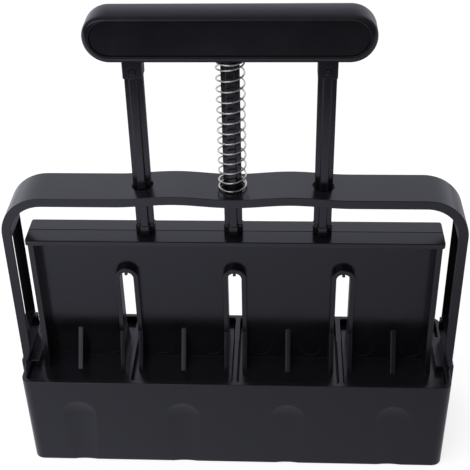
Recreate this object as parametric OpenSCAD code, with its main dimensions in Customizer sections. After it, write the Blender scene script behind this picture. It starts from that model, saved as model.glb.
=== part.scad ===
// Hand soil blocker: an open case of four cells, a hoop that stands on it, and a sprung press
// with a palm grip. Pushing the grip down drives four plates through the cells and ejects the blocks.
// Millimetres, +Z up. The origin is the middle of the case's foot, and X runs along the row of cells.

/* [Case] */
// Inside length of one cell, along the row
cell_l = 50; // [47:0.5:55]
// Inside width of the cells, front to back
cell_w = 50; // [48:0.5:56]
// Height of the case
case_h = 54; // [51:1:64]
// Thickness of the outer walls
wall = 2.5; // [2:0.1:3.2]
// Thickness of the dividers between the cells
divider = 2.5; // [1.6:0.1:3.2]
// Outer radius of the upright corners
corner_r = 5; // [3:0.5:8]
// Width of the flutes in the long walls
flute_w = 18.4; // [12:0.2:24]
// Depth of the flutes
flute_d = 1.2; // [0.6:0.1:1.5]
// Height of a flute's round top above the foot
flute_h = 41.5; // [30:0.5:47]
// Width of the stop and snap lugs on the end walls
lug_w = 22.4; // [14:0.2:26]
// Reach of the stop lug into the end cell
stop_reach = 3.9; // [2.5:0.1:5]
// Reach of the snap lug out of the end wall
snap_reach = 1.9; // [1.2:0.1:2.2]

/* [Hoop] */
// Width of the band, front to back
band_w = 23.3; // [20:0.1:30]
// Thickness of the top bar
bar_t = 4.4; // [3.6:0.1:6]
// Thickness of the legs
leg_t = 4.4; // [3.8:0.1:6]
// How far the legs' outer faces stand outside the end walls
leg_proud = 1.5; // [1:0.1:2]
// Outer radius of the hoop's shoulders
shoulder_r = 20; // [12:0.5:30]
// Thickness of the rail in front of each leg's window
front_rail = 1.2; // [1:0.1:3]
// Thickness of the rail behind it, at the outer face
rear_rail = 7.4; // [5:0.1:9]
// How much farther back the window reaches at the inner face
window_slant = 2.6; // [0.5:0.1:3.5]
// Width of the bevel that thins the legs towards the back
bevel_w = 4.4; // [1:0.1:6]
// Depth of that bevel
bevel_t = 1.8; // [0.5:0.1:2.4]
// Height of the two humps of the top bar
hump_h = 1.5; // [0.5:0.1:2.5]
// Length of one hump
hump_l = 54; // [44:1:60]
// Free height between the press flange and the top bar
hoop_gap = 20.1; // [12:0.1:30]
// Length of the tabs that clip outside the end walls
tab_l = 24; // [20:0.5:30]
// Thickness of those tabs
tab_t = 2.3; // [1.9:0.1:2.8]

/* [Press] */
// Depth of the plates' tops below the rim
plate_drop = 4; // [3:0.1:6]
// Thickness of the press plates
plate_t = 2.5; // [2:0.1:4]
// Thickness of the web
web_t = 2.5; // [2:0.1:4]
// Width of the slots that pass the dividers
slot_w = 6.8; // [6:0.1:9]
// Thickness of the raised rims round the slots
rim_t = 2.4; // [1.6:0.1:3.2]
// How far the rims stand out of the web
rim_out = 3.4; // [2:0.1:5]
// Height of the web above the slots, with its flange
head_h = 21.9; // [16:0.1:30]
// Depth of the top flange, front to back
flange_w = 18.8; // [14:0.1:24]
// Thickness of the top flange
flange_t = 3.2; // [2.6:0.1:4.5]
// Reach of the gussets along the plates, from the middle
gusset_reach = 13; // [11:0.1:18]
// Height of the gussets
gusset_h = 18; // [12:0.5:24]
// Thickness of the gussets
gusset_t = 2.6; // [1.8:0.1:3.4]

/* [Rods] */
// Distance of the outer rods from the middle one
rod_pitch = 41.6; // [37:0.1:46]
// Width across a rod's arms
rod_w = 8.2; // [7:0.1:9]
// Thickness of a rod's arms
rod_arm = 3.6; // [2.6:0.1:4.2]
// Width of the foot of a rod
foot_w = 8.9; // [8.9:0.1:9.6]
// Diameter of the pegs on top of the rods
peg_d = 5; // [4:0.1:5.6]

/* [Grip] */
// Length of the grip
grip_l = 123.6; // [112:0.2:140]
// Height of the grip
grip_h = 22.6; // [20:0.2:27]
// Depth of the grip, front to back
grip_w = 13; // [12:0.2:18]
// Radius of its long edges
grip_r = 2.6; // [1.5:0.1:3.4]
// Free height between the top bar and the grip, which holds the spring
grip_gap = 64.2; // [58:0.1:80]
// Width of the rim round the inset cover
grip_rim = 3.3; // [2.8:0.1:4]
// Depth of the cover below the rim
cover_sunk = 0.8; // [0.3:0.1:1.2]
// Thickness of the cover
cover_t = 1.6; // [1.2:0.1:2]
// Height of the bosses that take the outer rods' pegs
boss_h = 7.9; // [6:0.1:11]

/* [Spring] */
// Outside diameter of the spring
spring_d = 13.2; // [12.8:0.1:15]
// Diameter of the spring's wire
wire_d = 0.8; // [0.6:0.1:1.2]
// Number of turns
turns = 14; // [8:1:18]

/* [Pins] */
// Length of the seed pins below the plates
pin_l = 10; // [6:0.5:14]
// Diameter of the seed pins at the plates
pin_d = 8; // [6:0.2:11]

/* [Hidden] */
$fn = 64;
black = [0.07, 0.07, 0.08];

// What fits: the gap round a moving plate, under a stop, round a rod in the bar and in a snap joint
plate_gap = 0.4;
stop_gap = 0.3;
rod_gap = 0.35;
snap_gap = 0.2;
peg_gap = 0.08;
seat = 0.15;
cells = 4;
over = 1;

// Case
pitch = cell_l + divider;
case_l = cells * pitch - divider + 2 * wall;
case_w = cell_w + 2 * wall;
end_x = case_l / 2;
flute_ball = (flute_w * flute_w / 4 + flute_d * flute_d) / (2 * flute_d);
cell_xs = [for (i = [0:cells - 1]) (i - (cells - 1) / 2) * pitch];
divider_xs = [for (i = [1:cells - 1]) (i - cells / 2) * pitch];
snap_h = 9;
snap_w = 11.8;
snap_z = case_h - tab_l + 5;

// Press, from its plates up
plate_top = case_h - plate_drop;
stroke = plate_top - plate_t;
slot_spare = 3.5;
slot_top = case_h + stroke + slot_spare;
flange_top = slot_top + head_h;
flange_fall = 0.3;
flange_l = case_l - 2 * wall - 2 * stop_reach - 3;
side_x = flange_l / 2 - 1.2;
side_t = 2.8;
socket_d = 2.4;
mark_d = 10.4;
mark_deep = 0.25;
mark_z = plate_top + mark_d / 2 + 1.4;
mark_xs = [0.234 * pitch, 0.716 * pitch, 1.219 * pitch, 1.68 * pitch];
stub_d = 4;
stub_l = 1.5;

// Hoop, above the press
bar_top = flange_top + hoop_gap + bar_t;
leg_x = end_x + leg_proud;
pocket_wall = 2.6;
window_lift = 18;
window_drop = 1.4;
bevel_drop = 5;
window_z0 = case_h + window_lift;
window_z1 = bar_top - shoulder_r - window_drop;
chamfer_h = 6.3;
seat_w = 1.2;
tab_x = end_x + snap_gap + tab_t;
rod_xs = [-rod_pitch, 0, rod_pitch];

// Grip
grip_z0 = bar_top + grip_gap;
grip_z = grip_z0 + grip_h / 2;
peg_l = 12;
spot_h = 1.2;
spot_d = 11;
screw_z = grip_z0 - 5;
boss_w = rod_w + 0.4;
screw_d = 2.2;
screw_l = boss_w - 1.8;
head_d = 3.4;
head_t = 1.2;
head_y = 0.7 * head_t - boss_w / 2;

// Foot of a rod's cross arms: two crossed bars
module cross(w, arm, h) {
    translate([-w / 2, -arm / 2, 0])
        cube([w, arm, h]);
    translate([-arm / 2, -w / 2, 0])
        cube([arm, w, h]);
}

// Upright box with round corners, standing on z = 0
module round_box(l, w, h, r) {
    linear_extrude(h)
        union() {
            square([l - 2 * r, w], center = true);
            square([l, w - 2 * r], center = true);
            for (x = [-1, 1])
                for (y = [-1, 1])
                    translate([x * (l / 2 - r), y * (w / 2 - r)])
                        circle(r);
        }
}

// Outline drawn in X and Z, made w deep and centred on the middle plane
module from_front(w) {
    translate([0, w / 2, 0])
        rotate([90, 0, 0])
            linear_extrude(w)
                children();
}

// Outline drawn in Y and Z, made t thick and centred on x = 0
module from_side(t) {
    translate([-t / 2, 0, 0])
        rotate([90, 0, 90])
            linear_extrude(t)
                children();
}

// ---------- Case ----------

// One flute cutter: an upright round scoop that ends in a ball at its top
module flute() {
    z = flute_h - flute_w / 2;
    y = case_w / 2 - flute_d + flute_ball;
    translate([0, y, -over])
        cylinder(r = flute_ball, h = z + over, $fn = 160);
    translate([0, y, z])
        sphere(flute_ball, $fn = 160);
}

// Keeps a flute's cutter to its own part of the wall
module flute_cuts() {
    for (x = cell_xs)
        for (side = [0, 180])
            rotate([0, 0, side])
                translate([x, 0, 0])
                    intersection() {
                        flute();
                        translate([-flute_w / 2 - over, case_w / 2 - flute_d - over, -over])
                            cube([flute_w + 2 * over, flute_d + 2 * over, flute_h + 2 * over]);
                    }
}

// Wedge that the hoop's tab snaps over: flat below, ramped above
module snap_lug() {
    translate([end_x - wall / 2, 0, snap_z])
        from_front(snap_w)
            polygon([[0, 0], [wall / 2 + snap_reach, 0], [wall / 2 + snap_reach, snap_h * 0.35],
                     [wall / 2, snap_h], [0, snap_h]]);
}

// Ledge inside the end wall that stops the plates at the top of the stroke
module stop_lug() {
    h = plate_drop - stop_gap;
    translate([end_x - wall - stop_reach, -lug_w / 2, case_h - h])
        cube([stop_reach + wall / 2, lug_w, h]);
}

module cell_case() {
    color(black)
        difference() {
            union() {
                difference() {
                    round_box(case_l, case_w, case_h, corner_r);
                    for (x = cell_xs)
                        translate([x, 0, -over])
                            round_box(cell_l, cell_w, case_h + 2 * over, 1.5);
                }
                for (side = [0, 180])
                    rotate([0, 0, side]) {
                        snap_lug();
                        stop_lug();
                    }
            }
            flute_cuts();
        }
}

// ---------- Hoop ----------

// Arch with round shoulders, in X and Z, filled from z = low up to top
module arch(half, low, top, r) {
    translate([-half, low])
        square([2 * half, top - r - low]);
    translate([-half + r, low])
        square([2 * (half - r), top - low]);
    for (x = [-1, 1])
        translate([x * (half - r), top - r])
            circle(r, $fn = 128);
}

// Wavy strip: two humps on a line at height z, filled down to the line below it
module humps(z, below) {
    steps = 18;
    polygon(concat(
        [for (i = [-steps:steps])
            let (x = i * hump_l / steps)
            [x, z + hump_h * (1 - cos(360 * x / hump_l)) / 2]],
        [[hump_l, z - below], [-hump_l, z - below]]));
}

// The band seen from the front, between its outer and inner lines
module band_outline(foot) {
    difference() {
        union() {
            arch(leg_x, foot, bar_top, shoulder_r);
            humps(bar_top, bar_t / 2);
        }
        union() {
            arch(leg_x - leg_t, foot - over, bar_top - bar_t, shoulder_r - bar_t);
            humps(bar_top - bar_t, bar_t / 2);
        }
    }
}

// Lower end of the right leg: it steps out over the rim and goes down outside the wall
module leg_end() {
    inner = leg_x - leg_t;
    out = end_x + snap_gap;
    polygon([[inner, case_h + chamfer_h + over], [inner, case_h + chamfer_h],
             [end_x - seat_w, case_h], [out, case_h], [out, case_h - tab_l],
             [tab_x, case_h - tab_l], [tab_x, case_h + 0.4], [leg_x, case_h + 1.2],
             [leg_x, case_h + chamfer_h + over]]);
}

// Shallow pockets under the bar, clear of the guide bosses round the rods
module bar_pockets() {
    deep = bar_t / 2;
    difference() {
        from_front(band_w - 2 * pocket_wall)
            difference() {
                union() {
                    arch(leg_x - leg_t, bar_top - 2 * shoulder_r, bar_top - bar_t + deep,
                         shoulder_r - bar_t + deep);
                    humps(bar_top - bar_t + deep, bar_t / 2);
                }
                square([8 * case_l, 2 * (bar_top - bar_t - over)], center = true);
                for (x = [-1, 1])
                    translate([x * (hump_l + rod_pitch), bar_top])
                        square([2 * rod_pitch, 4 * bar_t], center = true);
            }
        for (x = rod_xs)
            translate([x, 0, bar_top - 2 * bar_t])
                cylinder(d = rod_w + 7, h = 4 * bar_t);
    }
}

// Cut of the right leg's window, through the band, its rear side slanted
module leg_window() {
    front = front_rail - band_w / 2;
    back = band_w / 2 - rear_rail;
    inner = leg_x - leg_t;
    slope = window_slant / leg_t;
    translate([0, 0, window_z0])
        linear_extrude(window_z1 - window_z0)
            polygon([[inner - over, front], [leg_x + over, front],
                     [leg_x + over, back - over * slope],
                     [inner - over, back + window_slant + over * slope]]);
}

// Cut of the bevel along the right leg's inner rear edge, under the shoulder
module leg_bevel() {
    inner = leg_x - leg_t;
    edge = band_w / 2 - bevel_w;
    low = window_z0 - bevel_drop;
    translate([0, 0, low])
        linear_extrude(bar_top - shoulder_r - low)
            polygon([[inner - over, edge], [inner, edge],
                     [inner + bevel_t * (bevel_w + over) / bevel_w, band_w / 2 + over],
                     [inner - over, band_w / 2 + over]]);
}

module hoop_frame() {
    snap_window_h = snap_h + 2 * snap_gap;
    color(black)
        difference() {
            union() {
                from_front(band_w)
                    band_outline(case_h + chamfer_h);
                for (side = [0, 180])
                    rotate([0, 0, side])
                        from_front(band_w)
                            leg_end();
            }
            for (side = [0, 1])
                mirror([side, 0, 0]) {
                    leg_window();
                    leg_bevel();
                }
            for (side = [-1, 1])
                translate([side * tab_x, 0, snap_z - snap_gap + snap_window_h / 2])
                    cube([3 * tab_t, snap_w + 2 * snap_gap, snap_window_h], center = true);
            bar_pockets();
            for (x = rod_xs)
                translate([x, 0, bar_top - 2 * bar_t])
                    cylinder(r = norm([rod_w, rod_arm]) / 2 + rod_gap, h = 4 * bar_t);
        }
}

// ---------- Press panel ----------

// Slot outline in X and Z: straight sides under a round arch
module slot_outline(w, low, top) {
    translate([-w / 2, low])
        square([w, top - w / 2 - low]);
    translate([0, top - w / 2])
        circle(d = w);
}

// Fin in Y and Z that is half deep above and flares out to the plate below
module fin(t, half, top) {
    from_side(t)
        polygon([[-gusset_reach, plate_top - plate_t / 2], [-gusset_reach, plate_top],
                 [-half, plate_top + gusset_h], [-half, top], [half, top],
                 [half, plate_top + gusset_h], [gusset_reach, plate_top],
                 [gusset_reach, plate_top - plate_t / 2]]);
}

// Raised rim round one slot: an arched band, with a flared fin down each side of it
module slot_rim() {
    half = web_t / 2 + rim_out;
    from_front(2 * half)
        slot_outline(slot_w + 2 * rim_t, plate_top + over, slot_top + rim_t);
    for (side = [-1, 1])
        translate([side * (slot_w + rim_t) / 2, 0, 0])
            fin(rim_t, half, plate_top + gusset_h + over);
}

// Top flange: a shallow roof that falls a little to the front and the back
module flange() {
    from_side(flange_l)
        polygon([[-flange_w / 2, flange_top - flange_fall], [0, flange_top],
                 [flange_w / 2, flange_top - flange_fall],
                 [flange_w / 2, flange_top - flange_t], [-flange_w / 2, flange_top - flange_t]]);
}

// Web of the press with its round mould marks, two to a cell on each face
module web() {
    low = plate_top - plate_t / 2;
    difference() {
        translate([-side_x, -web_t / 2, low])
            cube([2 * side_x, web_t, flange_top - flange_t / 2 - low]);
        for (x = divider_xs)
            translate([x - slot_w / 2, -web_t, 0])
                cube([slot_w, 2 * web_t, plate_top + over]);
        for (x = mark_xs)
            for (side = [-1, 1])
                for (face = [-1, 1])
                    translate([side * x, face * web_t / 2, mark_z])
                        rotate([90, 0, 0])
                            cylinder(d = mark_d, h = 2 * mark_deep, center = true);
    }
}

module press_panel() {
    plate_l = cell_l - 2 * plate_gap;
    plate_w = cell_w - 2 * plate_gap;
    nub_w = 1.4;
    color(black)
        difference() {
            union() {
                web();
                flange();
                for (side = [-1, 1])
                    translate([side * (side_x - side_t / 2), 0, 0])
                        fin(side_t, flange_w / 2, flange_top - flange_t / 2);
                for (x = divider_xs)
                    translate([x, 0, 0])
                        slot_rim();
                for (x = cell_xs) {
                    translate([x, 0, plate_top - plate_t])
                        round_box(plate_l, plate_w, plate_t, 1.2);
                    translate([x, 0, 0])
                        fin(gusset_t, web_t / 2, plate_top + gusset_h + over);
                }
            }
            for (x = divider_xs)
                translate([x, 0, 0])
                    difference() {
                        from_front(4 * flange_w)
                            slot_outline(slot_w, plate_top + over / 2, slot_top);
                        translate([-nub_w / 2, -web_t / 2 - rim_out - over, slot_top - 1.6])
                            cube([nub_w, web_t + 2 * (rim_out + over), 3]);
                    }
            for (x = rod_xs)
                translate([x, 0, flange_top - socket_d])
                    cross(foot_w - 1.6 + 2 * peg_gap, rod_arm - 1 + 2 * peg_gap, socket_d + over);
            for (x = cell_xs)
                translate([x, 0, plate_top - plate_t - over])
                    cylinder(d = stub_d + 2 * peg_gap, h = stub_l + over);
        }
}

// ---------- Rods ----------

// Cross-shaped rod with a wider foot, a tenon below it and a round peg on top
module rod(top) {
    tenon = socket_d - seat;
    color(black) {
        translate([0, 0, flange_top])
            cross(rod_w, rod_arm, top - flange_top);
        translate([0, 0, flange_top])
            cross(foot_w, rod_arm + foot_w - rod_w, 5);
        translate([0, 0, flange_top - tenon])
            cross(foot_w - 1.6, rod_arm - 1, tenon + over);
        translate([0, 0, top - over])
            cylinder(d = peg_d, h = grip_z0 + peg_l - top + over);
    }
}

module outer_rod() {
    difference() {
        rod(grip_z0 - boss_h);
        translate([0, 0, screw_z])
            rotate([90, 0, 0])
                cylinder(d = screw_d + 2 * peg_gap, h = 2 * rod_w, center = true);
    }
}

module left_rod() {
    translate([-rod_pitch, 0, 0])
        outer_rod();
}

module centre_rod() {
    rod(grip_z0 - spot_h);
}

module right_rod() {
    translate([rod_pitch, 0, 0])
        outer_rod();
}

// ---------- Grip ----------

// Half of the edge profile of the grip: a rectangle from the axis out, with round outer corners
module grip_profile(half_h, w, r) {
    square([half_h - r, w / 2]);
    square([half_h, w / 2 - r]);
    translate([half_h - r, w / 2 - r])
        circle(r);
    mirror([0, 1]) {
        square([half_h - r, w / 2]);
        square([half_h, w / 2 - r]);
        translate([half_h - r, w / 2 - r])
            circle(r);
    }
}

// Bar with round ends and round edges, lying along X
module grip_solid() {
    straight = grip_l - grip_h;
    translate([-straight / 2, 0, 0])
        rotate([90, 0, 90])
            linear_extrude(straight)
                union() {
                    rotate([0, 0, 90])
                        grip_profile(grip_h / 2, grip_w, grip_r);
                    rotate([0, 0, -90])
                        grip_profile(grip_h / 2, grip_w, grip_r);
                }
    for (side = [-1, 1])
        translate([side * straight / 2, 0, 0])
            rotate([90, 0, 0])
                rotate([0, 0, side > 0 ? -90 : 90])
                    rotate_extrude(angle = 180, $fn = 96)
                        grip_profile(grip_h / 2, grip_w, grip_r);
}

// Plate with round ends in X and Z: rim is its margin inside the grip's outline
module grip_plate(rim, y, t) {
    straight = grip_l - grip_h;
    r = grip_h / 2 - rim;
    translate([0, y + t, 0])
        rotate([90, 0, 0])
            linear_extrude(t)
                union() {
                    square([straight, 2 * r], center = true);
                    for (x = [-straight / 2, straight / 2])
                        translate([x, 0])
                            circle(r, $fn = 96);
                }
}

module grip_body() {
    front = -grip_w / 2;
    ledge = front + cover_sunk + cover_t;
    back_wall = 2;
    color(black)
        difference() {
            union() {
                difference() {
                    translate([0, 0, grip_z])
                        grip_solid();
                    translate([0, 0, grip_z]) {
                        grip_plate(grip_rim, front - over, ledge - front + over);
                        grip_plate(grip_rim + 1.4, ledge - over, grip_w / 2 - back_wall - ledge + over);
                    }
                }
                for (x = rod_xs)
                    translate([x - boss_w / 2, ledge, grip_z0 + 1])
                        cube([boss_w, grip_w / 2 - 1 - ledge, grip_h - 2]);
                for (x = [-rod_pitch, rod_pitch])
                    translate([x, 0, grip_z0 - boss_h])
                        translate([-boss_w / 2, -boss_w / 2, 0])
                            cube([boss_w, boss_w, boss_h + 1.5]);
                translate([0, 0, grip_z0 - spot_h])
                    cylinder(d = spot_d, h = spot_h + 1.5);
            }
            for (x = rod_xs)
                translate([x, 0, grip_z0 - boss_h - over])
                    cylinder(d = peg_d + 2 * peg_gap, h = boss_h + peg_l + 0.5 + over);
            for (x = [-rod_pitch, rod_pitch])
                translate([x, head_y, screw_z])
                    rotate([90, 0, 0]) {
                        translate([0, 0, -screw_l - seat])
                            cylinder(d = screw_d + 2 * peg_gap, h = screw_l + head_t + over);
                        cylinder(d = head_d + 0.2, h = head_t + over);
                    }
        }
}

module grip_cover() {
    color(black)
        translate([0, 0, grip_z])
            grip_plate(grip_rim + seat, -grip_w / 2 + cover_sunk, cover_t);
}

// Small screws from the front through the bosses and the pegs of the outer rods
module grip_screws() {
    slot = 0.6;
    color("silver")
        for (x = [-rod_pitch, rod_pitch])
            translate([x, head_y, screw_z])
                rotate([90, 0, 0])
                    difference() {
                        union() {
                            cylinder(d = head_d, h = head_t);
                            translate([0, 0, -screw_l])
                                cylinder(d = screw_d, h = screw_l + head_t / 2);
                        }
                        for (turn = [0, 90])
                            rotate([0, 0, turn])
                                translate([-head_d / 2 + 0.5, -slot / 2, head_t * 0.45])
                                    cube([head_d - 1, slot, head_t]);
                    }
}

// ---------- Spring ----------

// The wire's path: closed end turns, and an even pitch between them
spring_z0 = bar_top + wire_d / 2 + 0.05;
spring_rise = grip_z0 - bar_top - wire_d - 0.1;
end_turns = 0.9;
function coil_z(t) =
    let (close = wire_d * 1.05,
         open = (spring_rise - 2 * end_turns * close) / (turns - 2 * end_turns))
    t < end_turns ? t * close :
    t > turns - end_turns ? spring_rise - (turns - t) * close :
    end_turns * close + (t - end_turns) * open;
function coil_point(t) =
    let (r = (spring_d - wire_d) / 2, a = 360 * t)
    [r * cos(a), r * sin(a), spring_z0 + coil_z(t)];

module return_spring() {
    per_turn = 18;
    sides = 8;
    rings = turns * per_turn;
    points = [
        for (i = [0:rings])
            let (t = i / per_turn, a = 360 * t, centre = coil_point(t))
            for (k = [0:sides - 1])
                let (b = 360 * k / sides, out = wire_d / 2 * cos(b))
                centre + [out * cos(a), out * sin(a), wire_d / 2 * sin(b)]];
    faces = concat(
        [[for (k = [0:sides - 1]) k]],
        [for (i = [0:rings - 1])
            for (k = [0:sides - 1])
                let (n = (k + 1) % sides, a = i * sides, b = (i + 1) * sides)
                [a + k, b + k, b + n, a + n]],
        [[for (k = [sides - 1:-1:0]) rings * sides + k]]);
    color("silver")
        polyhedron(points, faces);
}

// ---------- Seed pins ----------

// Pin under a plate: a stub in the plate, a tapering shank and a round tip
module seed_pin(i) {
    tip_r = pin_d / 2 - 1.4;
    base = plate_top - plate_t;
    color(black)
        translate([cell_xs[i], 0, base])
            rotate([180, 0, 0]) {
                cylinder(r1 = pin_d / 2, r2 = tip_r, h = pin_l - tip_r);
                translate([0, 0, pin_l - tip_r])
                    sphere(tip_r);
                translate([0, 0, seat - stub_l])
                    cylinder(d = stub_d, h = stub_l);
            }
}

module seed_pin_1() { seed_pin(0); }
module seed_pin_2() { seed_pin(1); }
module seed_pin_3() { seed_pin(2); }
module seed_pin_4() { seed_pin(3); }

cell_case();
hoop_frame();
press_panel();
left_rod();
centre_rod();
right_rod();
grip_body();
grip_cover();
return_spring();
grip_screws();
seed_pin_1();
seed_pin_2();
seed_pin_3();
seed_pin_4();
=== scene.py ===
# %% [markdown]
# # A hand soil blocker
# The tool stands on an open case of four cells. A hoop of flat band stands on the case, and a press
# hangs in the hoop: plates in the cells, a web, a flange, three guide rods, and a grip on top.
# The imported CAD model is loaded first, because it fixes every size and place. Nothing here moves it.
# Each plain CAD node is replaced by a dressed piece of the same size, with round edges that catch light.

# %% Load the frame
import bpy
import bmesh
import math
from mathutils import Matrix, Vector


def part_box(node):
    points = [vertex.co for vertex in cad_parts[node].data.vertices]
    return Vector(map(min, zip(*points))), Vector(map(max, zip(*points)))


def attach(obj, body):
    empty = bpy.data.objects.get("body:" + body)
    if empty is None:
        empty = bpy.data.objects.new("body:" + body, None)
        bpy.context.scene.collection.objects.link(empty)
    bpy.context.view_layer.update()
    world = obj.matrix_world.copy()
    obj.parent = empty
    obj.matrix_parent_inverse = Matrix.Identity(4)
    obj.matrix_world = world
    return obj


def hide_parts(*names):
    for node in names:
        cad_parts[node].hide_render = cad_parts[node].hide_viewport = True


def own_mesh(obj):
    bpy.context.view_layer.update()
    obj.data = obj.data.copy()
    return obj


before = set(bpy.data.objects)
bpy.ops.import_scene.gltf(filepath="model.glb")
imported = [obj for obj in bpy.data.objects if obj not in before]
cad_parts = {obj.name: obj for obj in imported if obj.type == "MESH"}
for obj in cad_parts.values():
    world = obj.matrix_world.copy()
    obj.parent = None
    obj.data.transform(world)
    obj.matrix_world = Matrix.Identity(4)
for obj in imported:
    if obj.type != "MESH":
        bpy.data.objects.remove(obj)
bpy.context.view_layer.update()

# %% [markdown]
# The camera is set by numbers, not by eye: its place, three angles and focal length were fitted to the
# corners of the case and the hoop. Yaw, pitch and roll turn into three unit vectors, and those are the
# columns of the camera's matrix: its right, its up, and straight back.

# %% Camera
yaw, pitch, roll = (math.radians(a) for a in (-3.570, 34.349, 1.546))
ahead = Vector((math.sin(yaw) * math.cos(pitch), math.cos(yaw) * math.cos(pitch), -math.sin(pitch)))
level = Vector((math.cos(yaw), -math.sin(yaw), 0))
down = ahead.cross(level)
right = math.cos(roll) * level + math.sin(roll) * down
below = math.cos(roll) * down - math.sin(roll) * level
turn = Matrix((right, -below, -ahead)).transposed().to_4x4()

IMAGE = 470
focal_px = 1035.063
centre_px = (227.613, 234.617)
lens = bpy.data.cameras.new("studio_camera")
lens.sensor_width = 36
lens.lens = focal_px / IMAGE * lens.sensor_width
lens.shift_x = 0.5 - centre_px[0] / IMAGE
lens.shift_y = centre_px[1] / IMAGE - 0.5
lens.clip_start = 0.01
camera_place = (0.02227, -0.404257, 0.401534)
camera = bpy.data.objects.new("studio_camera", lens)
camera.matrix_world = Matrix.Translation(camera_place) @ turn
bpy.context.scene.collection.objects.link(camera)
bpy.context.scene.camera = camera
print("lens", round(lens.lens, 2), "mm")

# %% [markdown]
# Sizes come from the frame where a node's box gives them. The rest are the driving sizes of the part,
# in millimetres, because a maker thinks of a wall as 2.5 and not as 0.0025. Moving and mating pieces
# never touch face to face, so the last row holds the gaps left between them.

# %% Sizes from the frame
MM = 0.001


def box_mm(node):
    low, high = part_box(node)
    return low / MM, high / MM


wall = 2.5
divider = 2.5
snap_reach = 1.9
hump_h = 1.5
case_high = box_mm("cell_case")[1]
hoop_high = box_mm("hoop_frame")[1]
press_low, press_high = box_mm("press_panel")
grip_low, grip_high = box_mm("grip_body")
spring_low, spring_high = box_mm("return_spring")
case_h = case_high.z
end_x = case_high.x - snap_reach
side_y = case_high.y
cell = 2 * (side_y - wall)
pitch_x = cell + divider
cell_xs = [(i - 1.5) * pitch_x for i in range(4)]
divider_xs = [(i - 1) * pitch_x for i in range(3)]
bar_top = hoop_high.z - hump_h
band_w = 2 * hoop_high.y
flange_top = press_high.z
rod_pitch = 41.6
rod_xs = (-rod_pitch, 0, rod_pitch)
plate_gap, rod_gap, snap_gap, peg_gap, seat = 0.4, 0.35, 0.2, 0.08, 0.15
print("cell", round(cell, 2), "pitch", round(pitch_x, 2), "bar top", round(bar_top, 2))

# %% [markdown]
# Almost every piece of this tool is a flat outline with some thickness, as moulded parts are. So the
# main helper is a prism: a closed outline in one plane, extruded to both sides of a middle. A real
# mould has no knife edges, so soften() rounds every sharp edge by a few tenths of a millimetre.

# %% Helpers: mesh, soft edges, prism
PLANES = {
    "XZ": lambda a, b, t: (a, t, b),
    "YZ": lambda a, b, t: (t, a, b),
    "XY": lambda a, b, t: (a, b, t),
}


def mesh_object(name, points, faces):
    mesh = bpy.data.meshes.new(name)
    mesh.from_pydata([Vector(p) * MM for p in points], [], faces)
    obj = bpy.data.objects.new(name, mesh)
    bpy.context.scene.collection.objects.link(obj)
    return obj


def soften(obj, radius, segments=3, sharp=30):
    bm = bmesh.new()
    bm.from_mesh(obj.data)
    bmesh.ops.recalc_face_normals(bm, faces=bm.faces)
    if radius > 0:
        edges = [e for e in bm.edges if e.calc_face_angle(0) > math.radians(sharp)]
        bmesh.ops.bevel(bm, geom=edges, offset=radius * MM, segments=segments, profile=0.5,
                        affect="EDGES", clamp_overlap=True)
    bm.to_mesh(obj.data)
    bm.free()
    return obj


def prism(outline, thickness, plane, middle=0.0, radius=0.25, segments=3):
    n = len(outline)
    place = PLANES[plane]
    points = [place(a, b, middle + side * thickness / 2) for side in (-1, 1) for a, b in outline]
    faces = [list(range(n)), list(range(2 * n - 1, n - 1, -1))]
    faces += [[i, i + n, (i + 1) % n + n, (i + 1) % n] for i in range(n)]
    return soften(mesh_object("prism", points, faces), radius, segments)


def arc(cx, cy, radius, start, end, steps):
    angles = [math.radians(start + (end - start) * i / steps) for i in range(steps + 1)]
    return [(cx + radius * math.cos(a), cy + radius * math.sin(a)) for a in angles]


def circle(cx, cy, radius, steps):
    return arc(cx, cy, radius, 0, 360, steps)[:-1]


def block(low, high, radius=0.25):
    (x0, y0, z0), (x1, y1, z1) = low, high
    return prism([(x0, y0), (x1, y0), (x1, y1), (x0, y1)], z1 - z0, "XY", (z0 + z1) / 2, radius)


# %% [markdown]
# Some forms aren't prisms. A loft joins rings that have as many points each, such as the grip's ends,
# and a lathe is a loft whose rings are circles. Both are closed with one face at each end.

# %% Helpers: loft and lathe
def loft(rings, radius=0.0):
    n = len(rings[0])
    points = [p for ring in rings for p in ring]
    faces = [list(range(n)), list(range(len(points) - 1, len(points) - n - 1, -1))]
    for r in range(len(rings) - 1):
        faces += [[r * n + i, r * n + (i + 1) % n, (r + 1) * n + (i + 1) % n, (r + 1) * n + i]
                  for i in range(n)]
    return soften(mesh_object("loft", points, faces), radius)


def lathe(profile, centre=(0, 0), steps=48):
    """Profile of (radius, z) pairs, turned about an upright axis."""
    return loft([[(x, y, z) for x, y in circle(*centre, r, steps)] for r, z in profile])


def rounded_ring(half_x, half_y, radius, z, centre_x=0.0, steps=8):
    corners = ((1, 1, 0), (-1, 1, 90), (-1, -1, 180), (1, -1, 270))
    return [(centre_x + x, y, z) for sx, sy, a in corners
            for x, y in arc(sx * (half_x - radius), sy * (half_y - radius), radius, a, a + 90, steps)]


# %% [markdown]
# A moulded piece is one skin, so its forms are fused with a Boolean modifier, and holes are cut the
# same way. The exact solver is slow on dense meshes but leaves clean seams. The result is baked into
# a new mesh, its loose points are merged, and the helper solids are deleted.

# %% Helpers: fuse, cut and dress
MERGE = 1e-6


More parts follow.
